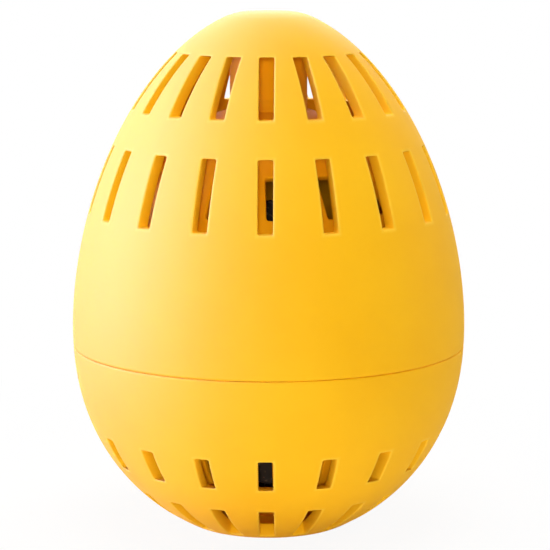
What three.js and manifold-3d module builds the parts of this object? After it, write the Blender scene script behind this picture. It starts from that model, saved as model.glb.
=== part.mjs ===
// Laundry egg: a soft slotted casing in two halves, a stiff cage inside each half that the casing
// grips, and a charge of loose mineral pellets in the cage. The cages push together at the seam.
// Millimetres, +Z up, origin at the middle of the flat base, one slot of every row facing -Y.

import * as THREE from 'three';
import { mergeVertices } from 'three/addons/utils/BufferGeometryUtils.js';
import Module from 'manifold-3d';

// Egg outline: a superellipse below the widest ring and another above it, both cut flat
const EGG_DIAMETER = 80;
const EGG_HEIGHT = 104.6;
const WIDEST_HEIGHT = 40.9;
const BASE_FLAT_DIAMETER = 32.4;
const CROWN_FLAT_DIAMETER = 12;
const LOWER_HEIGHT_POWER = 2.22;
const LOWER_RADIUS_POWER = 1.9;
const UPPER_HEIGHT_POWER = 1.84;
const UPPER_RADIUS_POWER = 1.85;

// Casing, parted a little below the widest ring
const CASING_WALL = 2.7;
const SEAM_HEIGHT = 37;
const SEAM_GAP = 0.3;

// Slots in the casing, measured along the outline: the base row is square to the surface and the
// other rows go straight in from the side
const SLOTS_PER_ROW = 18;
const SLOT_WIDTH = 2.9;
const CROWN_TO_TOP_ROW = 15.3;
const UPPER_SLOT_LENGTH = 14.5;
const UPPER_ROW_GAP = 8;
const BASE_TO_BASE_ROW = 2;
const BASE_SLOT_LENGTH = 12.8;
const LOWER_ROW_GAP = 7.2;
const SHORT_SLOT_LENGTH = 7.4;

// Cage, the dome's windows measured from both ends of its line and the bowl's from its floor
const CAGE_WALL = 1.6;
const SKIRT_WALL = 1.4;
const COLLAR_HEIGHT = 6;
const COLLAR_CLEARANCE = 0.6;
const SHELF_THICKNESS = 1.4;
const SHOULDER_STEP = 0.9;
const NECK_DIAMETER = 15.6;
const NECK_LENGTH = 15.5;
const SNAP_RISE = 3;
const SNAP_LENGTH = 1.4;
const SNAP_HEIGHT = 0.3;
const DOME_WINDOWS = 15;
const BOWL_WINDOWS = 18;
const DOME_WINDOW_WIDTH = 3.8;
const BOWL_WINDOW_WIDTH = 3.3;
const DOME_WINDOW_START = 22;
const DOME_WINDOW_END = 20;
const BOWL_WINDOW_START = 11;
const BOWL_WINDOW_LENGTH = 15;
const DOME_TURN = THREE.MathUtils.degToRad(4);
const BOWL_TURN = THREE.MathUtils.degToRad(-1);

// Rib on each cage that the casing closes over, and the socket that takes the neck
const RIB_OFFSET = 2;
const RIB_HEIGHT = 2;
const RIB_DEPTH = 1;
const SOCKET_WALL = 1.5;
const SOCKET_DEPTH = 4;

// Pellets
const PELLET_DIAMETER = 8;
const PELLET_COUNT = 50;

// Clearance between pieces that touch, and how far a cutter reaches past the wall it cuts
const FIT = 0.3;
const OVERCUT = 1.5;

// Facets
const ROUND_SEGMENTS = 2 * SLOTS_PER_ROW;
const OUTLINE_STEP = 8;
const INSIDE_STEP = 14;
const CAGE_STEP = 10;
const PELLET_SIDES = 8;
const PELLET_RINGS = 4;

const wasm = await Module();
wasm.setup();

// Radius of the egg at a height
const eggRadius = EGG_DIAMETER / 2;
const cutShare = (flat, radiusPower, heightPower) =>
  (1 - (flat / EGG_DIAMETER) ** radiusPower) ** (1 / heightPower);
const lowerReach = WIDEST_HEIGHT / cutShare(BASE_FLAT_DIAMETER, LOWER_RADIUS_POWER, LOWER_HEIGHT_POWER);
const upperReach = (EGG_HEIGHT - WIDEST_HEIGHT)
  / cutShare(CROWN_FLAT_DIAMETER, UPPER_RADIUS_POWER, UPPER_HEIGHT_POWER);

const superellipse = (rise, heightPower, radiusPower) =>
  eggRadius * Math.max(0, 1 - rise ** heightPower) ** (1 / radiusPower);

function outlineRadius(z) {
  return z < WIDEST_HEIGHT
    ? superellipse((WIDEST_HEIGHT - z) / lowerReach, LOWER_HEIGHT_POWER, LOWER_RADIUS_POWER)
    : superellipse((z - WIDEST_HEIGHT) / upperReach, UPPER_HEIGHT_POWER, UPPER_RADIUS_POWER);
}

// The outline as a curve of (radius, height) from its lower pole, below the flat base, to the crown edge
class EggOutline extends THREE.Curve {
  getPoint(t, target = new THREE.Vector2()) {
    const z = THREE.MathUtils.lerp(WIDEST_HEIGHT - lowerReach, EGG_HEIGHT, t * t);
    return target.set(outlineRadius(z), z);
  }
}

const outline = new EggOutline();
outline.arcLengthDivisions = 1000;

// A curve's point and outward normal at a distance along it
function stationOn(curve, distance) {
  const share = distance / curve.getLength();
  const point = curve.getPointAt(share);
  const tangent = curve.getTangentAt(share);
  return { point, tangent, normal: new THREE.Vector2(tangent.y, -tangent.x) };
}

// The point at a depth below the outline
function wallPoint(distance, depth) {
  const { point, normal } = stationOn(outline, distance);
  return point.addScaledVector(normal, -depth);
}

// Distance along the outline where the surface at a depth passes a limit, by halving
function crossing(depth, low, high, isPast) {
  for (let step = 0; step < 40; step++) {
    const middle = (low + high) / 2;
    if (isPast(wallPoint(middle, depth))) high = middle;
    else low = middle;
  }
  return low;
}

const outlineLength = outline.getLength();
const distanceAtHeight = (depth, z) => crossing(depth, 0, outlineLength, (p) => p.y > z);
const radiusAtHeight = (depth, z) => wallPoint(distanceAtHeight(depth, z), depth).x;
const baseEdge = distanceAtHeight(0, 0);
const widestRing = distanceAtHeight(0, WIDEST_HEIGHT);

// Points of the surface at a depth between two distances, either way, about one step apart,
// with one on the widest ring if it lies between them
function wallPoints(depth, from, to, step) {
  const stops = (widestRing - from) * (to - widestRing) > 0 ? [from, widestRing, to] : [from, to];
  const points = [wallPoint(from, depth)];
  for (let leg = 1; leg < stops.length; leg++) {
    const [start, end] = [stops[leg - 1], stops[leg]];
    const count = Math.ceil(Math.abs(end - start) / step);
    for (let i = 1; i <= count; i++) {
      points.push(wallPoint(THREE.MathUtils.lerp(start, end, i / count), depth));
    }
  }
  return points;
}

const corner = (radius, z) => new THREE.Vector2(radius, z);

// A closed band round a cylinder of a profile: a rib when it stands out, a groove when it goes in
const band = (radius, height, from, to) => [
  corner(radius, from), corner(radius + height, from), corner(radius + height, to), corner(radius, to),
];

// Solids of revolution, with a facet centred on -Y and the facets' middles at the profile's radius
function revolve(profile) {
  const halfFacet = Math.PI / ROUND_SEGMENTS;
  const corners = profile.map((p) => corner(p.x / Math.cos(halfFacet), p.y));
  return new THREE.LatheGeometry(corners, ROUND_SEGMENTS, -halfFacet).rotateX(Math.PI / 2);
}

function toSolid(geometry) {
  const bare = geometry.clone();
  bare.deleteAttribute('normal');
  bare.deleteAttribute('uv');
  const merged = mergeVertices(bare, 1e-4);
  const vertProperties = new Float32Array(merged.attributes.position.array);
  const triVerts = new Uint32Array(merged.index.array);
  return new wasm.Manifold(new wasm.Mesh({ numProp: 3, vertProperties, triVerts }));
}

function toGeometry(solid) {
  const { vertProperties, triVerts } = solid.getMesh();
  const shared = new THREE.BufferGeometry();
  shared.setAttribute('position', new THREE.BufferAttribute(new Float32Array(vertProperties), 3));
  shared.setIndex(new THREE.BufferAttribute(new Uint32Array(triVerts), 1));
  const faceted = shared.toNonIndexed();
  faceted.computeVertexNormals();
  return faceted;
}

// Copies round the axis of a box cutter: its middle and the way its length points, in radius and height
function cutterRing(middle, along, { width, depth, length, count, turn }) {
  const inwards = new THREE.Vector2(-along.y, along.x);
  return Array.from({ length: count }, (_, i) => {
    const angle = turn + (i * 2 * Math.PI) / count;
    const outwards = new THREE.Vector3(Math.sin(angle), -Math.cos(angle), 0);
    const place = (p) => outwards.clone().multiplyScalar(p.x).setZ(p.y);
    const across = new THREE.Vector3(Math.cos(angle), Math.sin(angle), 0);
    const frame = new THREE.Matrix4().makeBasis(across, place(inwards), place(along));
    frame.setPosition(place(middle));
    return new THREE.BoxGeometry(width, depth, length).applyMatrix4(frame);
  });
}

// Cutters that stand square to a curve's surface and go through a wall that sags with it
function squareCutters(curve, { from, length, wall, ...ring }) {
  const { point, tangent, normal } = stationOn(curve, from + length / 2);
  const chord = stationOn(curve, from).point.lerp(stationOn(curve, from + length).point, 0.5);
  const depth = wall + point.distanceTo(chord) + 2 * OVERCUT;
  const middle = point.clone().addScaledVector(normal, OVERCUT - depth / 2);
  return cutterRing(middle, tangent, { ...ring, depth, length });
}

function cut(geometry, cutters) {
  const tools = cutters.map(toSolid).reduce((joined, tool) => joined.add(tool));
  return toGeometry(toSolid(geometry).subtract(tools));
}

// Places round the seam that both halves share
const lowerSeam = SEAM_HEIGHT;
const upperSeam = lowerSeam + SEAM_GAP;
const collarTop = upperSeam + COLLAR_HEIGHT;
const shelfUnderside = collarTop + 2 * FIT;
const shelfTop = shelfUnderside + SHELF_THICKNESS;
const skirtRadius = Math.min(
  radiusAtHeight(CASING_WALL, lowerSeam),
  radiusAtHeight(CASING_WALL, shelfTop),
) - FIT;
const skirtInside = skirtRadius - SKIRT_WALL;
const collarRadius = skirtInside - COLLAR_CLEARANCE;
const lowerRib = { from: lowerSeam - RIB_OFFSET - RIB_HEIGHT, to: lowerSeam - RIB_OFFSET };
const upperRib = { from: upperSeam + RIB_OFFSET, to: upperSeam + RIB_OFFSET + RIB_HEIGHT };
const snap = { from: upperSeam + SNAP_RISE, to: upperSeam + SNAP_RISE + SNAP_LENGTH };
const grooveRadius = skirtRadius + RIB_DEPTH + FIT;

// Neck and its socket under the crown
const neckRadius = NECK_DIAMETER / 2;
const socketRadius = neckRadius + FIT;
const bossRadius = socketRadius + SOCKET_WALL;
const insideAtRadius = (radius) =>
  crossing(CASING_WALL, widestRing, outlineLength, (p) => p.x < radius);
const bossDistance = insideAtRadius(bossRadius);
const socketCeiling = wallPoint(insideAtRadius(socketRadius), CASING_WALL).y;
const socketMouth = wallPoint(bossDistance, CASING_WALL).y - SOCKET_DEPTH;
const neckTop = socketCeiling - FIT;
const neckFoot = neckTop - NECK_LENGTH;

const slotRing = { width: SLOT_WIDTH, count: SLOTS_PER_ROW, turn: 0 };
const squareSlots = (from, length) =>
  squareCutters(outline, { ...slotRing, from, length, wall: CASING_WALL });

// Slots that go straight in towards the axis, between the heights of two distances along the outline
function levelSlots(from, length) {
  const ends = [from, from + length].map((distance) => wallPoint(distance, 0));
  const heights = ends.map((p) => p.y);
  const outer = Math.max(...ends.map((p) => p.x)) + OVERCUT;
  const inner = Math.min(...heights.map((z) => radiusAtHeight(CASING_WALL, z))) - OVERCUT;
  const middle = corner((outer + inner) / 2, (heights[0] + heights[1]) / 2);
  const size = { depth: outer - inner, length: heights[1] - heights[0] };
  return cutterRing(middle, corner(0, 1), { ...slotRing, ...size });
}

// Upper casing: ceiling, socket, inside wall with its groove, seam face, outside, crown
function upperCasing() {
  const grooveTop = distanceAtHeight(CASING_WALL, upperRib.to + FIT);
  const grooveFoot = upperRib.from - FIT;
  const profile = [
    corner(0, socketCeiling),
    corner(socketRadius, socketCeiling),
    corner(socketRadius, socketMouth),
    corner(bossRadius, socketMouth),
    ...wallPoints(CASING_WALL, bossDistance, grooveTop, INSIDE_STEP),
    corner(grooveRadius, upperRib.to + FIT),
    corner(grooveRadius, grooveFoot),
    corner(radiusAtHeight(CASING_WALL, grooveFoot), grooveFoot),
    corner(radiusAtHeight(CASING_WALL, upperSeam), upperSeam),
    ...wallPoints(0, distanceAtHeight(0, upperSeam), outlineLength, OUTLINE_STEP),
    corner(0, EGG_HEIGHT),
  ];
  const topRow = outlineLength - CROWN_TO_TOP_ROW - UPPER_SLOT_LENGTH;
  const middleRow = topRow - UPPER_ROW_GAP - UPPER_SLOT_LENGTH;
  return cut(revolve(profile), [
    ...levelSlots(topRow, UPPER_SLOT_LENGTH),
    ...levelSlots(middleRow, UPPER_SLOT_LENGTH),
  ]);
}

// Lower casing: flat base, outside, seam face, inside wall with its groove, floor
function lowerCasing() {
  const grooveFoot = lowerRib.from - FIT;
  const profile = [
    corner(0, 0),
    ...wallPoints(0, baseEdge, distanceAtHeight(0, lowerSeam), OUTLINE_STEP),
    corner(radiusAtHeight(CASING_WALL, lowerSeam), lowerSeam),
    corner(radiusAtHeight(CASING_WALL, lowerRib.to + FIT), lowerRib.to + FIT),
    corner(grooveRadius, lowerRib.to + FIT),
    corner(grooveRadius, grooveFoot),
    ...wallPoints(
      CASING_WALL,
      distanceAtHeight(CASING_WALL, grooveFoot),
      distanceAtHeight(CASING_WALL, CASING_WALL),
      INSIDE_STEP,
    ),
    corner(0, CASING_WALL),
  ];
  const baseRow = baseEdge + BASE_TO_BASE_ROW;
  const shortRow = baseRow + BASE_SLOT_LENGTH + LOWER_ROW_GAP;
  return cut(revolve(profile), [
    ...squareSlots(baseRow, BASE_SLOT_LENGTH),
    ...levelSlots(shortRow, SHORT_SLOT_LENGTH),
  ]);
}

// Upper cage: skirt with its rib, shoulder, dome and neck outside, then back down the inside
function upperCage() {
  const domeRadius = skirtRadius - SHOULDER_STEP;
  const domeRise = (neckFoot - upperSeam) / Math.sqrt(1 - (neckRadius / domeRadius) ** 2);
  const dome = (inset) => {
    const radius = domeRadius - inset;
    const rise = domeRise - inset;
    const from = Math.asin((inset ? shelfUnderside - upperSeam : shelfTop - upperSeam) / rise);
    const to = Math.acos((neckRadius - inset) / radius);
    return new THREE.EllipseCurve(0, upperSeam, radius, rise, from, to);
  };
  const outside = dome(0);
  const inside = dome(CAGE_WALL);
  const steps = Math.ceil(outside.getLength() / CAGE_STEP);
  const profile = [
    corner(skirtRadius, upperSeam),
    ...band(skirtRadius, RIB_DEPTH, upperRib.from, upperRib.to),
    corner(skirtRadius, shelfTop),
    ...outside.getSpacedPoints(steps),
    corner(neckRadius, neckTop),
    corner(neckRadius - CAGE_WALL, neckTop),
    ...inside.getSpacedPoints(steps).reverse(),
    corner(skirtInside, shelfUnderside),
    ...band(skirtInside, SNAP_HEIGHT, snap.from - FIT, snap.to + FIT).reverse(),
    corner(skirtInside, upperSeam),
    corner(skirtRadius, upperSeam),
  ];
  const windows = squareCutters(outside, {
    from: DOME_WINDOW_START,
    length: outside.getLength() - DOME_WINDOW_START - DOME_WINDOW_END,
    wall: CAGE_WALL,
    width: DOME_WINDOW_WIDTH,
    count: DOME_WINDOWS,
    turn: DOME_TURN,
  });
  return cut(revolve(profile), windows);
}

// Lower cage: floor, bowl, flange with its rib, collar with its snap bead, then back down the inside
function lowerCage() {
  const bowlDepth = outlineRadius(lowerSeam) - collarRadius;
  const floor = CASING_WALL + FIT;
  const bowl = (depth, from, to) => wallPoints(
    depth, distanceAtHeight(depth, from), distanceAtHeight(depth, to), CAGE_STEP,
  );
  const profile = [
    corner(0, floor),
    ...bowl(bowlDepth, floor, lowerRib.from),
    corner(skirtRadius + RIB_DEPTH, lowerRib.from),
    corner(skirtRadius + RIB_DEPTH, lowerRib.to),
    corner(skirtRadius, lowerRib.to),
    corner(skirtRadius, lowerSeam),
    corner(collarRadius, lowerSeam),
    ...band(collarRadius, SNAP_HEIGHT, snap.from, snap.to),
    corner(collarRadius, collarTop),
    corner(collarRadius - CAGE_WALL, collarTop),
    corner(collarRadius - CAGE_WALL, lowerSeam),
    ...bowl(bowlDepth + CAGE_WALL, lowerRib.from, floor + CAGE_WALL),
    corner(0, floor + CAGE_WALL),
  ];
  const bowlLine = new THREE.SplineCurve(bowl(bowlDepth, floor, lowerRib.from));
  const windows = squareCutters(bowlLine, {
    from: BOWL_WINDOW_START,
    length: BOWL_WINDOW_LENGTH,
    wall: CAGE_WALL,
    width: BOWL_WINDOW_WIDTH,
    count: BOWL_WINDOWS,
    turn: BOWL_TURN,
  });
  return { geometry: cut(revolve(profile), windows), insideDepth: bowlDepth + CAGE_WALL, floor };
}

// Pellet places: close-packed layers from the cage floor up, nearest the axis first in each layer
function pelletPlaces(insideDepth, floor) {
  const pitch = PELLET_DIAMETER + FIT;
  const reach = insideDepth + 2 * FIT + PELLET_DIAMETER / 2;
  const first = floor + CAGE_WALL + FIT + PELLET_DIAMETER / 2;
  const layerHeight = pitch * Math.sqrt(2 / 3);
  const layers = Math.floor((lowerSeam - first) / layerHeight);
  const side = Math.ceil(EGG_DIAMETER / pitch);
  const places = [];
  for (let layer = 0; layer < layers; layer++) {
    const z = first + layer * layerHeight;
    const limit = radiusAtHeight(reach, z);
    const shift = layer % 2;
    const ring = [];
    for (let row = -side; row <= side; row++) {
      for (let column = -side; column <= side; column++) {
        const x = pitch * (column + row / 2 + shift / 2);
        const y = pitch * (row * Math.sqrt(3) / 2 + shift / Math.sqrt(12));
        const order = column ** 2 + column * row + row ** 2 + shift * (column + row);
        const dark = (column + 2 * row + layer) % 2 === 0;
        if (Math.hypot(x, y) < limit) ring.push({ x, y, z, dark, order });
      }
    }
    ring.sort((a, b) => a.order - b.order);
    places.push(...ring);
  }
  return places.slice(0, PELLET_COUNT);
}

// Finishes
const finish = (color, roughness) => new THREE.MeshStandardMaterial({ color, roughness, metalness: 0 });
const named = (name, geometry, material) => Object.assign(new THREE.Mesh(geometry, material), { name });

const bowl = lowerCage();

const upperHalf = new THREE.Group();
upperHalf.add(named('upper_casing', upperCasing(), finish('#ffc93c', 0.55)));
upperHalf.add(named('upper_cage', upperCage(), finish('#ffb733', 0.45)));

const lowerHalf = new THREE.Group();
lowerHalf.add(named('lower_casing', lowerCasing(), finish('#ffc93c', 0.55)));
lowerHalf.add(named('lower_cage', bowl.geometry, finish('#ffb733', 0.45)));

const charge = new THREE.Group();
const counts = { tourmaline_pellet: 0, mineral_pellet: 0 };
for (const { x, y, z, dark } of pelletPlaces(bowl.insideDepth, bowl.floor)) {
  const kind = dark ? 'tourmaline_pellet' : 'mineral_pellet';
  const number = String(++counts[kind]).padStart(2, '0');
  const ball = new THREE.SphereGeometry(PELLET_DIAMETER / 2, PELLET_SIDES, PELLET_RINGS);
  const pellet = named(`${kind}_${number}`, ball, finish(dark ? '#3a332c' : '#e6dccb', 0.8));
  pellet.position.set(x, y, z);
  charge.add(pellet);
}

const laundryEgg = new THREE.Group();
laundryEgg.add(lowerHalf, charge, upperHalf);

export default laundryEgg;
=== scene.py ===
# Looks of the laundry egg: fine casings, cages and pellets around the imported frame
import math

import bpy
import numpy as np
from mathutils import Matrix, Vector


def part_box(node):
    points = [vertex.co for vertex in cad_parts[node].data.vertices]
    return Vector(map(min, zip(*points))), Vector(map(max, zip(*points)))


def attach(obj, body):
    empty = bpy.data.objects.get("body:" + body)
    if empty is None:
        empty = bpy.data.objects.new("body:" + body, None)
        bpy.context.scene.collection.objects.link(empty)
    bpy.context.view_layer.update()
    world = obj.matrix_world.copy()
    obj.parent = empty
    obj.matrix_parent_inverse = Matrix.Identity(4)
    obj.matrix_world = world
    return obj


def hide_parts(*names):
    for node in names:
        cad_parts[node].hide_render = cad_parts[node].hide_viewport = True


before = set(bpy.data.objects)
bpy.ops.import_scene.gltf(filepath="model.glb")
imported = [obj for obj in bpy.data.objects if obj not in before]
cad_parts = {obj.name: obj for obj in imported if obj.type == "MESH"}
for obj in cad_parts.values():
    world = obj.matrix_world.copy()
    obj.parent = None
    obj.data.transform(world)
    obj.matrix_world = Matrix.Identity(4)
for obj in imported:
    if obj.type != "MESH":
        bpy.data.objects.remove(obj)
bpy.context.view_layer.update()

mm = 0.001  # shapes are worked out in millimetres
fullTurn = 2 * math.pi
tiny = 1e-9  # keeps a division clear of zero


# A line in radius and height, with the distance along it and its outward normal
class WallLine:
    def __init__(self, r, z):
        self.r, self.z = r, z
        self.s = np.concatenate([[0.0], np.cumsum(np.hypot(np.diff(r), np.diff(z)))])
        tangentR, tangentZ = np.gradient(r, self.s), np.gradient(z, self.s)
        size = np.hypot(tangentR, tangentZ)
        self.normalR, self.normalZ = tangentZ / size, -tangentR / size
        self.length = self.s[-1]

    # the point at a distance along the line, sunk by a depth along the normal
    def at(self, s, depth=0.0):
        r = np.interp(s, self.s, self.r) - depth * np.interp(s, self.s, self.normalR)
        z = np.interp(s, self.s, self.z) - depth * np.interp(s, self.s, self.normalZ)
        return r, z

    # the distances at which the sunk line passes some heights
    def passing(self, height, depth=0.0):
        return np.interp(height, self.z - depth * self.normalZ, self.s)

    # the sunk line between two heights, as a line of its own
    def between(self, low, high, depth, samples=600):
        s = np.linspace(self.passing(low, depth), self.passing(high, depth), samples)
        return WallLine(*self.at(s, depth))


# The egg's own sizes
egg = {
    "diameter": 80.0,
    "height": 104.6,
    "widestHeight": 40.9,
    "baseFlat": 32.4,
    "crownFlat": 12.0,
    "lowerPowers": (2.22, 1.9),  # of height, then of radius
    "upperPowers": (1.84, 1.85),
    "wall": 2.7,
    "seamHeight": 37.0,
    "seamGap": 0.3,
    "fit": 0.3,
    "samples": 6000,
}


# Two superellipses that meet at the widest ring: r = R (1 - h^p)^(1/q), h being the share of the
# way from the ring to the pole
def eggOutline():
    ring, diameter = egg["widestHeight"], egg["diameter"]
    share = lambda flat, p, q: (1 - (flat / diameter) ** q) ** (1 / p)  # h at a flat end
    lowReach = ring / share(egg["baseFlat"], *egg["lowerPowers"])
    highReach = (egg["height"] - ring) / share(egg["crownFlat"], *egg["upperPowers"])
    t = np.linspace(0, 1, egg["samples"])
    z = ring - lowReach + (egg["height"] - ring + lowReach) * t**2
    below = z < ring
    h = np.where(below, (ring - z) / lowReach, (z - ring) / highReach)
    p = np.where(below, egg["lowerPowers"][0], egg["upperPowers"][0])
    q = np.where(below, egg["lowerPowers"][1], egg["upperPowers"][1])
    return WallLine(diameter / 2 * np.maximum(0, 1 - np.minimum(h, 1) ** p) ** (1 / q), z)


outline = eggOutline()
lowerSeam = egg["seamHeight"]
upperSeam = lowerSeam + egg["seamGap"]
baseEdge = outline.passing(0.0)
print("outline: %.1f mm from base edge to crown edge" % (outline.length - baseEdge))


# Points of a profile: radius, height, how far its corner is rounded, and the row of holes it edges
def run(r, z, ease=0.0, mark=0):
    r, z = np.broadcast_arrays(np.atleast_1d(np.asarray(r, float)), np.asarray(z, float))
    return np.column_stack([r, z, np.full(len(r), ease), np.full(len(r), mark)])


# Each corner with an ease becomes a quadratic curve from edge to edge: (1-t)^2 a + 2t(1-t) p + t^2 b
def easeCorners(profile, closed, steps=5):
    p, ease = profile[:, :2], profile[:, 2:3]
    before, after = np.roll(p, 1, 0), np.roll(p, -1, 0)
    if not closed:
        before[0], after[-1] = p[0], p[-1]
    unit = lambda v: v / np.maximum(np.linalg.norm(v, axis=1, keepdims=True), tiny)
    start, end = p + unit(before - p) * ease, p + unit(after - p) * ease
    t = np.linspace(0, 1, steps)[None, :, None]
    stack = (1 - t) ** 2 * start[:, None] + 2 * t * (1 - t) * p[:, None] + t**2 * end[:, None]
    keep = (ease > 0) | (np.arange(steps) == steps // 2)
    return stack[keep], np.repeat(profile[:, 3], keep.sum(1))


# Distances across a plain stretch of wall, closer together near the holes at its ends
def plainStretch(start, end, step=1.6, near=0.5):
    count = max(2, int(round((end - start) / step)))
    return np.concatenate([[start + near], np.linspace(start, end, count + 1)[1:-1], [end - near]])


# Distances along a row of holes: its widened ends, and stations between the rounded corners
def rowStations(row, ring, step=1.3):
    start, end = row["from"], row["from"] + row["length"]
    count = max(3, int(round(row["length"] / step)))
    middle = np.linspace(start + ring["corner"], end - ring["corner"], count)
    return np.concatenate([[start - ring["lip"]], middle, [end + ring["lip"]]])


# Where those stations lie at a depth: level holes keep their height, the others their distance
def stationsAt(line, row, ring, depth):
    stations = rowStations(row, ring)
    return line.passing(line.at(stations)[1], depth) if row["level"] else stations


shellMesh = {
    "lipArc": (30.0, 60.0, 90.0),  # degrees round a lip, a loop at each
    # the pale lip tone is partly wear and partly a painted highlight along the rounded slot edges
    "lipWearAndHighlight": (1.0, 0.8, 0.3),  # how worn and how brightly painted-highlit those loops are
    "rimWearAndHighlight": 0.7,
    "cornerCut": 0.29,  # how far a hole's corner is drawn in, as a share of its size
    "widestHole": 0.3,  # half a hole's widest, as a share of its sector
}


# Points from radius, height and the angle from the front to the right
def aroundAxis(r, z, phi):
    return np.stack([r * np.sin(phi), -r * np.cos(phi), z + 0 * phi], -1)


# The loop round a hole, as columns and stations: along the lower end, up the right side, back and down
def holeLoop(across, along):
    column = np.concatenate([np.arange(across), np.full(along, across),
                             np.arange(across, 0, -1), np.zeros(along, int)])
    station = np.concatenate([np.zeros(across, int), np.arange(along),
                              np.full(across, along), np.arange(along, 0, -1)])
    return column, station


# The loops that line a hole: round a quarter circle at the outer lip, through the wall and round
# the inner lip. On the quarter circles a loop is lip (1 - cos a) deep and lip (1 - sin a) too wide.
def holeTube(line, row, ring, units, column, station):
    halfWidth, lip, wall = ring["width"] / 2, ring["lip"], ring["wall"]
    arc = np.radians(shellMesh["lipArc"])
    depth = np.concatenate([lip * (1 - np.cos(arc)), [wall / 2], wall - lip * (1 - np.cos(arc[::-1]))])
    grow = np.concatenate([lip * (1 - np.sin(arc)), [0.0], lip * (1 - np.sin(arc[::-1]))])
    depth, grow = depth[:, None], grow[:, None]
    side = np.sign(units[column]) * (np.abs(units[column]) == 1)
    ends = (station == station.max()) * 1.0 - (station == 0) * 1.0
    cut = shellMesh["cornerCut"] * ring["corner"] * np.abs(side * ends)
    x = np.where(side != 0, side * (halfWidth + grow - cut), units[column] * (halfWidth + lip))
    stations = rowStations(row, ring)
    lean = (stationsAt(line, row, ring, wall) - stations) / wall
    start, end = row["from"], row["from"] + row["length"]
    distance = np.where(ends < 0, start - grow + cut, stations[station])
    distance = np.where(ends > 0, end + grow - cut, distance)
    r, z = line.at(distance + lean[station] * depth, depth)
    return r, z, np.arcsin(x / r)


# A profile turned round the axis, with rows of holes through its wall. In a sector the columns
# lie at set shares of the hole's width, then across the land to the next hole.
def slottedShell(profile, rows, ring, closed=False):
    points, marks = easeCorners(profile, closed)
    if not closed:
        poles, points, marks = points[[0, -1]], points[1:-1], marks[1:-1]
    r, z = points.T
    sector = fullTurn / ring["count"]
    reach = ring["width"] / 2 + ring["lip"]
    inner = (ring["width"] / 2 - ring["corner"]) / reach
    units = np.array([-1, -inner, 0, inner, 1])
    edge = np.arcsin(np.minimum(reach / r, math.sin(shellMesh["widestHole"] * sector)))
    land = np.array(ring["land"])[:, None]
    phi = np.concatenate([units[:, None] * edge, edge + (sector - 2 * edge) * land])
    turns = ring["turn"] + sector * np.arange(ring["count"])
    phi = (turns[:, None, None] + phi).reshape(-1, len(r))
    columns, stations = phi.shape
    perSector = columns // ring["count"]
    index = np.arange(columns * stations).reshape(columns, stations)
    beside = np.roll(index, -1, 0)
    cells = np.stack([index, beside, np.roll(beside, -1, 1), np.roll(index, -1, 1)], -1)
    kept = np.ones((columns, stations), bool)
    kept[:, -1] = closed
    inHole = np.arange(columns) % perSector < len(units) - 1
    wornAndHighlit = np.zeros((columns, stations))
    total = columns * stations
    tubes, tubeWearAndHighlight, tubeQuads = [], [], []
    for number, (line, row) in enumerate(rows):
        outer = np.flatnonzero(marks == 2 * number + 1)
        inside = np.flatnonzero(marks == 2 * number + 2)[::-1]
        for low, high in ((outer[0], outer[-1]), (inside[-1], inside[0])):
            kept[np.ix_(inHole, np.arange(low, high))] = False
        column, station = holeLoop(len(units) - 1, len(outer) - 1)
        tubeR, tubeZ, angle = holeTube(line, row, ring, units, column, station)
        tube = aroundAxis(tubeR, tubeZ, turns[:, None, None] + angle)  # hole, loop, point
        tubeIndex = total + np.arange(tube[..., 0].size).reshape(tube.shape[:3])
        total += tubeIndex.size
        # the hole's edge on the outside, the lining's loops, and its edge on the inside
        home = np.arange(ring["count"])[:, None] * perSector + column
        first, final = index[home, outer[station]], index[home, inside[station]]
        loops = np.concatenate([first[:, None], tubeIndex, final[:, None]], 1)
        onward = np.roll(loops, -1, 2)
        faces = np.stack([loops[:, :-1], onward[:, :-1], onward[:, 1:], loops[:, 1:]], -1)
        loopWearAndHighlight = np.zeros(tube.shape[:3])
        loopWearAndHighlight[:, :len(shellMesh["lipWearAndHighlight"])] = np.array(shellMesh["lipWearAndHighlight"])[:, None]
        # the rim round each hole takes part of the pale lip tone: wear and painted highlight
        wornAndHighlit[home, outer[station]] = shellMesh["rimWearAndHighlight"]
        tubes.append(tube.reshape(-1, 3))
        tubeWearAndHighlight.append(loopWearAndHighlight.ravel())
        tubeQuads.append(faces.reshape(-1, 4))
    parts = [aroundAxis(r, z, phi).reshape(-1, 3), *tubes]
    wearAndHighlight = [wornAndHighlit.ravel(), *tubeWearAndHighlight]
    tris = np.zeros((0, 3), int)
    if not closed:
        foot, top = index[:, 0], index[:, -1]
        tris = np.concatenate([
            np.stack([np.full(columns, total), np.roll(foot, -1), foot], -1),
            np.stack([top, np.roll(top, -1), np.full(columns, total + 1)], -1),
        ])
        parts.append(np.column_stack([np.zeros(2), np.zeros(2), poles[:, 1]]))
        wearAndHighlight.append(np.zeros(2))
    return np.concatenate(parts), np.concatenate([cells[kept], *tubeQuads]), tris, np.concatenate(wearAndHighlight)


# A mesh at the origin with its place in its points, given in millimetres
def putMesh(name, points, quads, tris, attributes):
    mesh = bpy.data.meshes.new(name)
    mesh.from_pydata((points * mm).tolist(), [], quads.tolist() + tris.tolist())
    mesh.polygons.foreach_set("use_smooth", np.ones(len(mesh.polygons), bool))
    for label, values in attributes.items():
        layer = mesh.attributes.new(label, "FLOAT", "POINT")
        layer.data.foreach_set("value", np.asarray(values, np.float32))
    mesh.update()
    piece = bpy.data.objects.new(name, mesh)
    bpy.context.scene.collection.objects.link(piece)
    return piece


# A piece's finish, the body that it moves with and the nodes that it stands for
def dress(piece, finish, body, nodes):
    piece.data.materials.append(finish)
    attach(piece, body)
    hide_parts(*nodes)
    print("piece:", piece.name, len(piece.data.polygons), "faces on", body)


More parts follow.
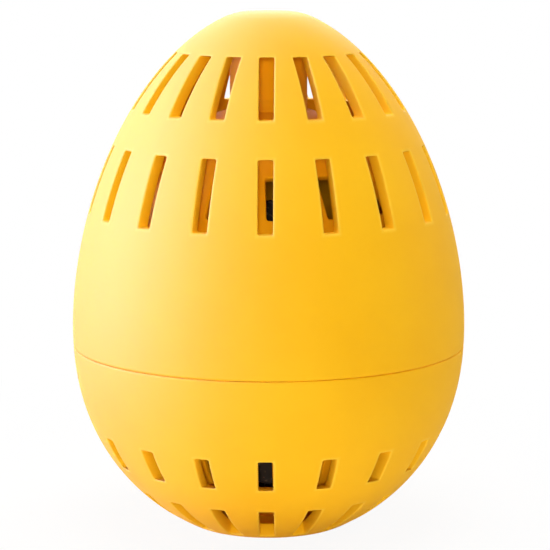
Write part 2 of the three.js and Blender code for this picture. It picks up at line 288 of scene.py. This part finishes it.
# Shader maths as plain expressions: a socket, with operators that add their Math nodes
class Wire:
    def __init__(self, tree, socket=None):
        self.tree, self.socket = tree, socket

    # any node: its type, its settings, then its sockets' values or links
    def node(self, kind, settings=None, sockets=None, outlet=0):
        made = self.tree.nodes.new(kind)
        for label, value in (settings or {}).items():
            setattr(made, label, value)
        for label, value in (sockets or {}).items():
            if isinstance(value, Wire):
                self.tree.links.new(value.socket, made.inputs[label])
            else:
                made.inputs[label].default_value = value
        return Wire(self.tree, made.outputs[outlet])

    def maths(self, operation, a, b):
        return self.node("ShaderNodeMath", {"operation": operation}, {0: a, 1: b})

    def __add__(self, other):
        return self.maths("ADD", self, other)

    def __radd__(self, other):
        return self.maths("ADD", other, self)

    def __sub__(self, other):
        return self.maths("SUBTRACT", self, other)

    def __rsub__(self, other):
        return self.maths("SUBTRACT", other, self)

    def __mul__(self, other):
        return self.maths("MULTIPLY", self, other)

    def __rmul__(self, other):
        return self.maths("MULTIPLY", other, self)

    # one colour into another by a share: of the Mix node's sockets, 6 and 7 in and 2 out are colours
    def tint(self, colourA, colourB):
        mix = {"data_type": "RGBA"}
        return self.node("ShaderNodeMix", mix, {0: self, 6: colourA, 7: colourB}, 2)

    def noise(self, place, scale, detail, roughness=0.5):
        return self.node("ShaderNodeTexNoise", {}, {
            "Vector": place, "Scale": scale, "Detail": detail, "Roughness": roughness})

    # a noise about its middle value, times an amount
    def swing(self, amount):
        return amount * (self - 0.5)

    def spread(self, low, high):
        return self.node("ShaderNodeMapRange", {}, {"Value": self, "From Min": low, "From Max": high})

    def bump(self, height, strength, distance):
        return self.node("ShaderNodeBump", {}, {
            "Height": height, "Strength": strength, "Distance": distance})

    def attribute(self, label):
        return self.node("ShaderNodeAttribute", {"attribute_name": label}, {}, "Fac")


# A colour as the eye reads it, 0 to 255, turned to linear light by the usual display curve
def tone(*levels):
    share = np.array(levels) / 255
    linear = np.where(share < 0.04045, share / 12.92, ((share + 0.055) / 1.055) ** 2.4)
    return (*linear.tolist(), 1.0)


# A material with its surface shader and the wire to build it from
def newFinish(name, constants):
    finish = bpy.data.materials.new(name)
    finish.use_nodes = True
    surface = finish.node_tree.nodes["Principled BSDF"]
    for label, value in constants.items():
        surface.inputs[label].default_value = value
    wire = Wire(finish.node_tree)
    place = wire.node("ShaderNodeTexCoord", {}, {}, "Object")
    return finish, surface, wire, place


# Links into the surface shader
def plug(finish, surface, links):
    for label, wire in links.items():
        finish.node_tree.links.new(wire.socket, surface.inputs[label])


softYellow = {
    "main": (255, 193, 24),
    "deep": (252, 186, 18),
    # the lip tone is partly wear and partly a painted highlight along the slots' rounded edges
    "lip": (255, 206, 62),
    "lipShare": 0.55,
    "specular": 0.2,
    "roughness": 0.75,
    "roughSwing": (0.1, 0.06),  # with the grain, with the clouds
    "cloudSize": 45.0,  # patterns are sized per metre
    "cloudSpread": (0.3, 0.7),
    "grainSize": 2600.0,
    "pitSize": 910.0,
    "grainShare": 0.7,  # of the height, the rest being pits
    "grainHeight": 0.00006,
    "bumpStrength": 0.35,
}


# Soft moulded casing: a slow drift of tone, a fine spark-eroded grain, and paler lips round the slots,
# partly wear and partly a painted highlight on their rounded edges
def casingFinish():
    look = softYellow
    finish, surface, wire, place = newFinish("softYellowCasing", {"Specular IOR Level": look["specular"]})
    cloud = wire.noise(place, look["cloudSize"], detail=3.0)
    grain = wire.noise(place, look["grainSize"], detail=2.0, roughness=0.6)
    pits = wire.noise(place, look["pitSize"], detail=1.0)
    colour = cloud.spread(*look["cloudSpread"]).tint(tone(*look["deep"]), tone(*look["main"]))
    # paler lips: partly wear, partly a painted highlight where the rounded edges would catch the light
    lips = wire.attribute("lip") * look["lipShare"]
    colour = lips.tint(colour, tone(*look["lip"]))
    byGrain, byCloud = look["roughSwing"]
    rough = look["roughness"] + grain.swing(byGrain) + cloud.swing(byCloud)
    height = grain * look["grainShare"] + pits * (1 - look["grainShare"])
    bump = wire.bump(height, look["bumpStrength"], look["grainHeight"])
    plug(finish, surface, {"Base Color": colour, "Roughness": rough, "Normal": bump})
    return finish


cageOrange = {
    "main": (255, 175, 16),
    "deep": (251, 163, 10),
    "specular": 0.06,
    "roughness": 0.58,
    "roughSwing": (0.16, 0.06),  # with the flow lines, with the grain
    "flowSize": 120.0,
    "flowDrawn": (1.0, 1.0, 0.12),
    "flowSpread": (0.3, 0.7),
    "grainSize": 1500.0,
    "flowShare": 0.5,  # of the height, the rest being grain
    "flowHeight": 0.00005,
    "bumpStrength": 0.2,
}


# Stiff moulded cage: satin, with faint flow lines drawn out along the axis
def cageFinish():
    look = cageOrange
    finish, surface, wire, place = newFinish("satinOrangeCage", {"Specular IOR Level": look["specular"]})
    drawn = wire.node("ShaderNodeMapping", {}, {"Vector": place, "Scale": look["flowDrawn"]})
    flow = wire.noise(drawn, look["flowSize"], detail=4.0)
    grain = wire.noise(place, look["grainSize"], detail=1.0)
    colour = flow.spread(*look["flowSpread"]).tint(tone(*look["deep"]), tone(*look["main"]))
    byFlow, byGrain = look["roughSwing"]
    rough = look["roughness"] + flow.swing(byFlow) + grain.swing(byGrain)
    height = flow * look["flowShare"] + grain * (1 - look["flowShare"])
    bump = wire.bump(height, look["bumpStrength"], look["flowHeight"])
    plug(finish, surface, {"Base Color": colour, "Roughness": rough, "Normal": bump})
    return finish


pelletSkin = {
    "tourmaline": ((38, 31, 26), (74, 60, 48), (120, 98, 74)),  # two body tones, then specks
    "mineral": ((222, 206, 178), (240, 230, 210), (170, 146, 112)),
    "specular": 0.3,
    "roughness": 0.72,
    "roughSwing": 0.2,
    "batchShare": 0.65,  # how far a pellet's own tone goes
    "chalkSize": 350.0,
    "chalkSwing": 0.6,
    "speckSize": 900.0,
    "speckSpread": (0.6, 0.68),
    "speckShare": 0.6,
    "chalkShare": 0.8,  # of the height, the rest being specks
    "chalkHeight": 0.0003,
    "bumpStrength": 0.6,
}


# Fired pellets: each with its own tone, mineral specks and a chalky, slightly pitted skin
def pelletFinish(kind):
    look = pelletSkin
    body, pale, specks = (tone(*levels) for levels in look[kind])
    finish, surface, wire, place = newFinish(kind + "Pellet", {"Specular IOR Level": look["specular"]})
    chalk = wire.noise(place, look["chalkSize"], detail=3.0)
    speck = wire.noise(place, look["speckSize"], detail=1.0).spread(*look["speckSpread"])
    share = look["batchShare"] * wire.attribute("batch") + chalk.swing(look["chalkSwing"])
    colour = (speck * look["speckShare"]).tint(share.tint(body, pale), specks)
    rough = look["roughness"] + chalk.swing(look["roughSwing"])
    height = chalk * look["chalkShare"] + speck * (1 - look["chalkShare"])
    bump = wire.bump(height, look["bumpStrength"], look["chalkHeight"])
    plug(finish, surface, {"Base Color": colour, "Roughness": rough, "Normal": bump})
    return finish


yellow = casingFinish()
orange = cageFinish()
print("finishes: casing and cage")

# Casings, and the rows of slots along their outside
casing = {
    "count": 18,
    "width": 2.9,
    "wall": egg["wall"],
    "turn": 0.0,
    "lip": 0.28,
    "corner": 0.35,
    "land": (0.05, 0.16, 0.33, 0.5, 0.67, 0.84, 0.95),  # columns on the way to the next hole
    "crownToTopRow": 15.3,
    "upperSlot": 14.5,
    "upperGap": 8.0,
    "baseToRow": 2.0,
    "baseSlot": 12.8,
    "lowerGap": 7.2,
    "shortSlot": 7.4,
    "seamEase": 0.4,
    "seamHair": 0.04,  # the soft halves meet but for this
    "crownEase": 2.5,
    "baseEase": 0.8,
    "insideEase": 0.25,
    "baseRings": (5.0, 10.0, 14.0),  # radii of plain rings on the flat base
    "floorRings": (10.0, 5.0),
    "crownRing": 2.0,
    "baseLand": 0.5,  # from the base edge to the first ring of the wall
}

# Cages, inside the casings
cage = {
    "wall": 1.6,
    "skirtWall": 1.4,
    "collarHeight": 6.0,
    "collarRoom": 0.6,
    "shelf": 1.4,
    "shoulder": 0.9,
    "neck": 15.6,
    "neckLength": 15.5,
    "snapRise": 3.0,
    "snapLength": 1.4,
    "snapHeight": 0.3,
    "beadSlope": 0.4,
    "beadEase": 0.15,
    "grooveSlope": 0.2,
    "domeWindows": 15,
    "bowlWindows": 18,
    "domeWidth": 3.8,
    "bowlWidth": 3.3,
    "domeWindow": (22.0, 20.0),  # from the shelf, and short of the neck
    "bowlWindow": (11.0, 15.0),  # from the floor, and its length
    "domeSamples": 800,
    "domeFoot": 0.6,  # where the inside of the dome starts
    "neckLand": 4.0,  # plain ends of the neck
    "floorRings": (0.4, 0.8),  # shares of the floor's radius
    "insideRings": (0.6, 0.3),
    "domeTurn": math.radians(4.0),
    "bowlTurn": math.radians(-1.0),
    "ribOffset": 2.0,
    "ribHeight": 2.0,
    "ribDepth": 1.0,
    "socketWall": 1.5,
    "socketDepth": 4.0,
    "lip": 0.35,
    "corner": 0.5,
    "land": (0.06, 0.18, 0.34, 0.5, 0.66, 0.82, 0.94),
    "ease": 0.25,
}


# Radius of the casing's inside at a height
def insideRadius(height):
    return float(outline.at(outline.passing(height, egg["wall"]), egg["wall"])[0])


# Distance along the outline at which the casing's inside has a radius, above the widest ring
def insideAt(radius):
    above = outline.z > egg["widestHeight"]
    sunk = (outline.r - egg["wall"] * outline.normalR)[above]
    return float(np.interp(-radius, -sunk, outline.s[above]))


# Height of the casing's inside at a radius, above the widest ring
def ceilingAt(radius):
    return float(outline.at(insideAt(radius), egg["wall"])[1])


# heights and radii that the pieces share
fit = egg["fit"]
collarTop = upperSeam + cage["collarHeight"]
shelfUnder = collarTop + 2 * fit
shelfTop = shelfUnder + cage["shelf"]
skirtRadius = min(insideRadius(lowerSeam), insideRadius(shelfTop)) - fit
skirtInside = skirtRadius - cage["skirtWall"]
collarRadius = skirtInside - cage["collarRoom"]
lowerRib = (lowerSeam - cage["ribOffset"] - cage["ribHeight"], lowerSeam - cage["ribOffset"])
upperRib = (upperSeam + cage["ribOffset"], upperSeam + cage["ribOffset"] + cage["ribHeight"])
ribRadius = skirtRadius + cage["ribDepth"]
grooveRadius = ribRadius + fit
snap = (upperSeam + cage["snapRise"], upperSeam + cage["snapRise"] + cage["snapLength"])
neckRadius = cage["neck"] / 2
socketRadius = neckRadius + fit
bossRadius = socketRadius + cage["socketWall"]
socketCeiling = ceilingAt(socketRadius)
socketMouth = ceilingAt(bossRadius) - cage["socketDepth"]
neckTop = socketCeiling - fit
neckFoot = neckTop - cage["neckLength"]
seamReach = (egg["seamGap"] - casing["seamHair"]) / 2

# the four rows of slots, from the base up: the base row is square to the surface, the others level
baseStart = baseEdge + casing["baseToRow"]
shortStart = baseStart + casing["baseSlot"] + casing["lowerGap"]
topStart = outline.length - casing["crownToTopRow"] - casing["upperSlot"]
middleStart = topStart - casing["upperGap"] - casing["upperSlot"]
baseRow = {"from": baseStart, "length": casing["baseSlot"], "level": False}
shortRow = {"from": shortStart, "length": casing["shortSlot"], "level": True}
middleRow = {"from": middleStart, "length": casing["upperSlot"], "level": True}
topRow = {"from": topStart, "length": casing["upperSlot"], "level": True}


# A wall between two distances at a depth, with its rows of holes marked in order
def wallRun(line, start, end, depth, rows, ring, inside):
    parts, reached = [], start
    for number, row in enumerate(rows):
        stations = stationsAt(line, row, ring, depth)
        plain = plainStretch(reached, stations[0])
        parts.append(run(*line.at(plain, depth)))
        parts.append(run(*line.at(stations, depth), mark=2 * number + (2 if inside else 1)))
        reached = stations[-1]
    parts.append(run(*line.at(plainStretch(reached, end), depth)))
    whole = np.vstack(parts)
    return whole[::-1] if inside else whole


# Upper casing: ceiling, socket, inside wall with its groove, seam face, outside, crown
def upperCasing():
    wall, soft = egg["wall"], casing["insideEase"]
    grooveTop, grooveFoot = upperRib[1] + fit, upperRib[0] - fit
    rows = [middleRow, topRow]
    inFoot, inTop = outline.passing(grooveTop, wall), insideAt(bossRadius)
    face = upperSeam - seamReach
    seamOut = outline.passing(face)
    profile = np.vstack([
        run(0, socketCeiling),
        run(socketRadius, socketCeiling, soft),
        run(socketRadius, socketMouth, soft),
        run(bossRadius, socketMouth, soft),
        wallRun(outline, inFoot, inTop, wall, rows, casing, True),
        run(insideRadius(grooveTop), grooveTop, soft),
        run(grooveRadius, grooveTop, soft),
        run(grooveRadius, grooveFoot, soft),
        run(insideRadius(grooveFoot), grooveFoot, soft),
        run(insideRadius(face), face, soft),
        run(*outline.at(seamOut), casing["seamEase"]),
        wallRun(outline, seamOut, outline.length - casing["crownEase"], 0.0, rows, casing, False),
        run(egg["crownFlat"] / 2, egg["height"], casing["crownEase"]),
        run(casing["crownRing"], egg["height"]),
        run(0, egg["height"]),
    ])
    return slottedShell(profile, [(outline, row) for row in rows], casing)


# Lower casing: flat base, outside, seam face, inside wall with its groove, floor
def lowerCasing():
    wall, soft = egg["wall"], casing["insideEase"]
    grooveTop, grooveFoot = lowerRib[1] + fit, lowerRib[0] - fit
    rows = [baseRow, shortRow]
    floorEdge, inTop = outline.passing(wall, wall), outline.passing(grooveFoot, wall)
    face = lowerSeam + seamReach
    seamOut = outline.passing(face)
    profile = np.vstack([
        run(0, 0),
        run(casing["baseRings"], 0),
        run(egg["baseFlat"] / 2, 0, casing["baseEase"]),
        wallRun(outline, baseEdge + casing["baseLand"], seamOut, 0.0, rows, casing, False),
        run(*outline.at(seamOut), casing["seamEase"]),
        run(insideRadius(face), face, soft),
        run(insideRadius(grooveTop), grooveTop, soft),
        run(grooveRadius, grooveTop, soft),
        run(grooveRadius, grooveFoot, soft),
        run(insideRadius(grooveFoot), grooveFoot, soft),
        wallRun(outline, floorEdge, inTop, wall, rows, casing, True),
        run(casing["floorRings"], wall),
        run(0, wall),
    ])
    return slottedShell(profile, [(outline, row) for row in rows], casing)


# A slotted shell as a piece, with the wear and painted highlight of its lips
def putShell(name, shell, finish, body, node):
    points, quads, tris, wearAndHighlight = shell
    dress(putMesh(name, points, quads, tris, {"lip": wearAndHighlight}), finish, body, [node])


putShell("upperCasing", upperCasing(), yellow, "upper_half", "upper_casing")
putShell("lowerCasing", lowerCasing(), yellow, "lower_half", "lower_casing")


# Dome of the upper cage: a quarter ellipse from the shelf to the neck
def domeLine():
    radius = skirtRadius - cage["shoulder"]
    rise = (neckFoot - upperSeam) / math.sqrt(1 - (neckRadius / radius) ** 2)
    start, end = math.asin((shelfTop - upperSeam) / rise), math.acos(neckRadius / radius)
    angle = np.linspace(start, end, cage["domeSamples"])
    return WallLine(radius * np.cos(angle), upperSeam + rise * np.sin(angle))


# Upper cage: skirt with its rib, shoulder, dome and neck outside, then back down the inside
def upperCage():
    line, wall, soft = domeLine(), cage["wall"], cage["ease"]
    start, endLand = cage["domeWindow"]
    window = {"from": start, "length": line.length - start - endLand, "level": False}
    ring = {**cage, "width": cage["domeWidth"], "count": cage["domeWindows"], "turn": cage["domeTurn"]}
    grooveOut, slope = skirtInside + cage["snapHeight"], cage["grooveSlope"]
    neckInside, land = neckRadius - wall, cage["neckLand"]
    profile = np.vstack([
        run(skirtRadius, upperSeam, soft),
        run(skirtRadius, upperRib[0], soft),
        run(ribRadius, upperRib[0], soft),
        run(ribRadius, upperRib[1], soft),
        run(skirtRadius, upperRib[1], soft),
        run(skirtRadius, shelfTop, soft),
        run(*line.at(0.0), soft),
        wallRun(line, 0.0, line.length, 0.0, [window], ring, False),
        run(neckRadius, [neckFoot, neckFoot + land, neckTop - land]),
        run(neckRadius, neckTop, soft),
        run(neckInside, neckTop, soft),
        run(neckInside, [neckTop - land, neckFoot + land]),
        wallRun(line, cage["domeFoot"], line.length, wall, [window], ring, True),
        run(line.at(0.0, wall)[0], shelfUnder, soft),
        run(skirtInside, shelfUnder, soft),
        run(skirtInside, snap[1] + fit),
        run(grooveOut, snap[1] + fit - slope),
        run(grooveOut, snap[0] - fit + slope),
        run(skirtInside, snap[0] - fit),
        run(skirtInside, upperSeam, soft),
    ])
    return slottedShell(profile, [(line, window)], ring, True)


# Bowl of the lower cage: the egg's outline, sunk until it meets the collar
bowlDepth = float(outline.at(outline.passing(lowerSeam))[0]) - collarRadius
cageFloor = egg["wall"] + fit
bowlLine = outline.between(cageFloor, lowerRib[0], bowlDepth)


# Lower cage: floor, bowl, flange with its rib, collar with its snap bead, then back down the inside
def lowerCage():
    wall, soft = cage["wall"], cage["ease"]
    start, length = cage["bowlWindow"]
    window = {"from": start, "length": length, "level": False}
    ring = {**cage, "width": cage["bowlWidth"], "count": cage["bowlWindows"], "turn": cage["bowlTurn"]}
    inside, floorTop = collarRadius - wall, cageFloor + wall
    bead, slope, beadSoft = collarRadius + cage["snapHeight"], cage["beadSlope"], cage["beadEase"]
    floorRadius = float(bowlLine.at(0.0)[0])
    inFoot = bowlLine.passing(floorTop, wall)
    profile = np.vstack([
        run(0, cageFloor),
        run(floorRadius * np.array(cage["floorRings"]), cageFloor),
        wallRun(bowlLine, 0.0, bowlLine.length, 0.0, [window], ring, False),
        run(*bowlLine.at(bowlLine.length), soft),
        run(ribRadius, lowerRib[0], soft),
        run(ribRadius, lowerRib[1], soft),
        run(skirtRadius, lowerRib[1], soft),
        run(skirtRadius, lowerSeam, soft),
        run(collarRadius, lowerSeam, soft),
        run(collarRadius, snap[0]),
        run(bead, snap[0] + slope, beadSoft),
        run(bead, snap[1] - slope, beadSoft),
        run(collarRadius, snap[1]),
        run(collarRadius, collarTop, soft),
        run(inside, collarTop, soft),
        run(inside, lowerSeam),
        wallRun(bowlLine, inFoot, bowlLine.length, wall, [window], ring, True),
        run(floorRadius * np.array(cage["insideRings"]), floorTop),
        run(0, floorTop),
    ])
    return slottedShell(profile, [(bowlLine, window)], ring)


putShell("upperCage", upperCage(), orange, "upper_half", "upper_cage")
putShell("lowerCage", lowerCage(), orange, "lower_half", "lower_cage")

# Pellets, heaped in the lower cage
heap = {
    "seed": 23,
    "room": 0.3,  # between pellets, and to the cage
    "reach": 10,  # layers, and rows either way, that are tried
    "peak": 71.0,  # the tip of the cone
    "repose": 35.0,  # degrees
    "leftOut": 0.12,  # share of the places
    "shake": 1.5,
    "settleSteps": 240,
    "sink": 0.02,  # each step, for half of the steps
    "pushShare": 0.6,
    "sides": 10,
    "rings": 6,
    "dents": 0.05,
    "sizes": (0.93, 1.0),  # shares of the full radius
    "darkShare": 0.62,
}
pelletNodes = {
    kind: sorted(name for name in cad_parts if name.startswith(kind + "_pellet"))
    for kind in ("tourmaline", "mineral")
}


# Centres and radius of the pellets that the solids hold
def solidPellets():
    names = pelletNodes["tourmaline"] + pelletNodes["mineral"]
    corners = np.array([[list(c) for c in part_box(n)] for n in names]) / mm
    radius = float((corners[:, 1] - corners[:, 0])[:, 2].max() / 2)
    return corners.mean(1), radius, np.arange(len(names)) < len(pelletNodes["tourmaline"])


# How far from the axis a pellet's centre may lie at a height: inside the bowl, the collar and the dome
def heapLimit(height, radius):
    sunk = cage["wall"] + radius + heap["room"]
    limit = np.full(len(height), collarRadius - sunk)
    for line in (bowlLine, domeLine()):
        lineR, lineZ = line.at(line.s, sunk)
        limit = np.minimum(limit, np.interp(height, lineZ, lineR))
    return limit


# Close-packed layers above those of the solids and under a cone, with a share left out at random.
# Layer k lies k p sqrt(2/3) up, p being the pitch, and every other layer over the gaps of the last.
def pouredPellets(held, radius, rng):
    pitch, reach = 2 * radius + heap["room"], heap["reach"]
    layer, row, column = (a.ravel() for a in np.mgrid[0:reach, -reach:reach, -reach:reach])
    shift = layer % 2
    places = np.column_stack([
        pitch * (column + row / 2 + shift / 2),
        pitch * (row * math.sqrt(3) / 2 + shift / math.sqrt(12)),
        held[:, 2].min() + pitch * math.sqrt(2 / 3) * layer,
    ])
    out = np.hypot(places[:, 0], places[:, 1])
    cone = heap["peak"] - out * math.tan(math.radians(heap["repose"]))
    places = places[(out < heapLimit(places[:, 2], radius)) & (places[:, 2] < cone)]
    taken = np.linalg.norm(places[:, None] - held[None], axis=2).min(1) < pitch / 2
    places = places[~taken]
    return places[rng.uniform(0, 1, len(places)) > heap["leftOut"]]


# The poured pellets are shaken, then sink a little each step and are pushed apart where they touch
def settledPellets(held, radius):
    rng = np.random.default_rng(heap["seed"])
    free = pouredPellets(held, radius, rng)
    free += rng.uniform(-heap["shake"], heap["shake"], free.shape)
    count, pitch = len(free), 2 * radius + heap["room"]
    lowest = held[:, 2].min()
    for step in range(heap["settleSteps"]):
        calm = step > heap["settleSteps"] / 2
        free[:, 2] -= 0.0 if calm else heap["sink"]
        everyone = np.concatenate([free, held])
        gap = free[:, None] - everyone[None]
        distance = np.linalg.norm(gap, axis=2) + tiny
        np.fill_diagonal(distance, np.inf)
        share = np.where(np.arange(len(everyone)) < count, 0.5, 1.0)  # two free ones share a push
        push = np.maximum(0, pitch - distance) * share
        free += (gap / distance[..., None] * push[..., None]).sum(1) * heap["pushShare"]
        out = np.hypot(free[:, 0], free[:, 1])
        free[:, :2] *= np.minimum(1, heapLimit(free[:, 2], radius) / np.maximum(out, tiny))[:, None]
        free[:, 2] = np.maximum(free[:, 2], lowest)
    return free, rng


# Dented balls: the unit sphere's points pulled in a little at random, turned and set in place
def pelletMesh(name, centres, radius, rng):
    sides, rings = heap["sides"], heap["rings"]
    theta = np.pi * np.arange(1, rings) / rings
    phi = fullTurn * np.arange(sides) / sides
    sphere = np.stack([np.outer(np.sin(theta), np.cos(phi)), np.outer(np.sin(theta), np.sin(phi)),
                       np.outer(np.cos(theta), np.ones(sides))], -1).reshape(-1, 3)
    sphere = np.concatenate([sphere, [[0, 0, 1], [0, 0, -1]]])
    count, size = len(centres), len(sphere)
    q = rng.normal(size=(count, 4))
    w, x, y, z = (q / np.linalg.norm(q, axis=1, keepdims=True)).T
    turn = np.array([
        [1 - 2 * (y * y + z * z), 2 * (x * y - z * w), 2 * (x * z + y * w)],
        [2 * (x * y + z * w), 1 - 2 * (x * x + z * z), 2 * (y * z - x * w)],
        [2 * (x * z - y * w), 2 * (y * z + x * w), 1 - 2 * (x * x + y * y)],
    ]).transpose(2, 0, 1)
    dented = 1 - heap["dents"] * rng.uniform(0, 1, (count, size))
    reach = radius * dented * rng.uniform(*heap["sizes"], (count, 1))
    points = np.einsum("nij,vj->nvi", turn, sphere) * reach[..., None] + centres[:, None]
    ring = np.arange((rings - 1) * sides).reshape(rings - 1, sides)
    onward = np.roll(ring, -1, 1)
    quads = np.stack([ring[:-1], ring[1:], onward[1:], onward[:-1]], -1).reshape(-1, 4)
    top, foot = size - 2, size - 1
    tris = np.concatenate([
        np.stack([np.full(sides, top), ring[0], onward[0]], -1),
        np.stack([np.full(sides, foot), onward[-1], ring[-1]], -1),
    ])
    shift = (np.arange(count) * size)[:, None, None]
    quads, tris = (quads + shift).reshape(-1, 4), (tris + shift).reshape(-1, 3)
    batch = np.repeat(rng.uniform(0, 1, count), size)
    return putMesh(name, points.reshape(-1, 3), quads, tris, {"batch": batch})


# The solids' pellets and the poured ones together: the solids keep their kind, the others draw theirs
def pellets():
    held, radius, heldDark = solidPellets()
    free, rng = settledPellets(held, radius)
    places = np.concatenate([held, free])
    dark = np.concatenate([heldDark, rng.uniform(0, 1, len(free)) < heap["darkShare"]])
    print("pellets: %d, highest %.1f mm" % (len(places), places[:, 2].max() + radius))
    for kind, chosen in (("tourmaline", dark), ("mineral", ~dark)):
        piece = pelletMesh(kind + "Pellets", places[chosen], radius, rng)
        dress(piece, pelletFinish(kind), "pellet_charge", pelletNodes[kind])


pellets()

# Floor, light and camera
studio = {
    "floorHalf": 6.0,
    "floorTone": (0.92, 0.93),
    "floorRoughness": 0.9,
    "floorSpecular": 0.1,
    "speckleSize": 30.0,
    "speckleSpread": (0.2, 0.8),
    "shadowClear": 0.92,  # how white the floor is next to the egg
    "shadowReach": (0.06, 0.15),  # metres from the axis over which the shadow fades to white
    "worldStrength": 0.12,
    "lampTarget": (0.0, 0.0, 0.05),
    "lampDistance": 0.9,
    "lamps": (  # name, degrees left of the front, degrees up, size, power, and what it shows in
        ("frontFill", 0, 9, 0.1, 3.5, "matt"),
        ("overheadSoftbox", 0, 85, 0.6, 4.7, "both"),
        ("leftSoftbox", 80, 4, 0.45, 1.7, "both"),
        ("leftBackSoftbox", 140, 25, 0.45, 1.5, "both"),
        ("rightBackSoftbox", -125, 25, 0.45, 2.2, "both"),
        ("leftCard", 86, 4, 0.8, 140.0, "gloss"),
        ("highLeftCard", 100, 45, 0.8, 36.0, "gloss"),
        ("crownCard", 180, 38, 0.6, 16.0, "gloss"),
    ),
}
view = {
    "place": (7.74, -443.62, 124.10),
    "turn": (80.6365, 0.0, 0.832),  # degrees
    "lens": 143.99,
    "sensor": 36.0,
    "clip": (0.01, 50.0),  # metres
}


# 1 for rays that show the surroundings: to the camera, in a reflection or through something clear
def seenDirectly(wire):
    path = lambda outlet: wire.node("ShaderNodeLightPath", {}, {}, outlet)
    mirrored = wire.maths("MAXIMUM", path("Is Glossy Ray"), path("Is Transmission Ray"))
    return wire.maths("MAXIMUM", path("Is Camera Ray"), mirrored)


# Pale floor, white where it is seen, with the object's shadow kept close to it
def floorFinish():
    matt = {"Roughness": studio["floorRoughness"], "Specular IOR Level": studio["floorSpecular"]}
    finish, surface, wire, place = newFinish("paleFloor", matt)
    speckle = wire.noise(place, studio["speckleSize"], detail=2.0)
    greys = [(level, level, level, 1) for level in studio["floorTone"]]
    plug(finish, surface, {"Base Color": speckle.spread(*studio["speckleSpread"]).tint(*greys)})
    away = wire.node("ShaderNodeVectorMath", {"operation": "LENGTH"}, {0: place}, "Value")
    share = studio["shadowClear"] + (1 - studio["shadowClear"]) * away.spread(*studio["shadowReach"])
    glow = wire.node("ShaderNodeEmission", {}, {"Color": (1, 1, 1, 1), "Strength": 1.0})
    mixed = wire.node("ShaderNodeMixShader", {}, {
        0: share * seenDirectly(wire), 1: Wire(wire.tree, surface.outputs[0]), 2: glow})
    output = finish.node_tree.nodes["Material Output"]
    finish.node_tree.links.new(mixed.socket, output.inputs["Surface"])
    return finish


# A flat square under the egg
def setFloor():
    half = studio["floorHalf"]
    mesh = bpy.data.meshes.new("floor")
    corners = [(-half, -half, 0), (half, -half, 0), (half, half, 0), (-half, half, 0)]
    mesh.from_pydata(corners, [], [(0, 1, 2, 3)])
    floor = bpy.data.objects.new("floor", mesh)
    bpy.context.scene.collection.objects.link(floor)
    floor.data.materials.append(floorFinish())


# Dim white light all round, and plain white where the surroundings are seen
def setWorld():
    world = bpy.data.worlds.new("studio")
    bpy.context.scene.world = world
    world.use_nodes = True
    wire = Wire(world.node_tree)
    strength = studio["worldStrength"] + (1 - studio["worldStrength"]) * seenDirectly(wire)
    background = world.node_tree.nodes["Background"]
    background.inputs["Color"].default_value = (1, 1, 1, 1)
    world.node_tree.links.new(strength.socket, background.inputs["Strength"])


# Round softboxes on a sphere about the egg, each turned to face it
def setLamps():
    for name, left, up, size, power, shows in studio["lamps"]:
        data = bpy.data.lights.new(name, "AREA")
        data.shape, data.size, data.energy = "DISK", size, power
        lamp = bpy.data.objects.new(name, data)
        a, e = math.radians(left), math.radians(up)
        away = Vector((-math.cos(e) * math.sin(a), -math.cos(e) * math.cos(a), math.sin(e)))
        lamp.location = Vector(studio["lampTarget"]) + studio["lampDistance"] * away
        lamp.rotation_euler = away.to_track_quat("Z", "Y").to_euler()
        lamp.visible_diffuse = shows != "gloss"
        lamp.visible_glossy = shows != "matt"
        bpy.context.scene.collection.objects.link(lamp)


# The photograph's view of the egg
def setCamera():
    data = bpy.data.cameras.new("photoView")
    data.lens, data.sensor_width = view["lens"], view["sensor"]
    data.clip_start, data.clip_end = view["clip"]
    camera = bpy.data.objects.new("photoView", data)
    camera.location = [v * mm for v in view["place"]]
    camera.rotation_euler = [math.radians(v) for v in view["turn"]]
    bpy.context.scene.collection.objects.link(camera)
    bpy.context.scene.camera = camera


setFloor()
setWorld()
setLamps()
setCamera()
bpy.context.scene.view_settings.view_transform = "Standard"
print("studio: floor, world,", len(studio["lamps"]), "lamps and camera")
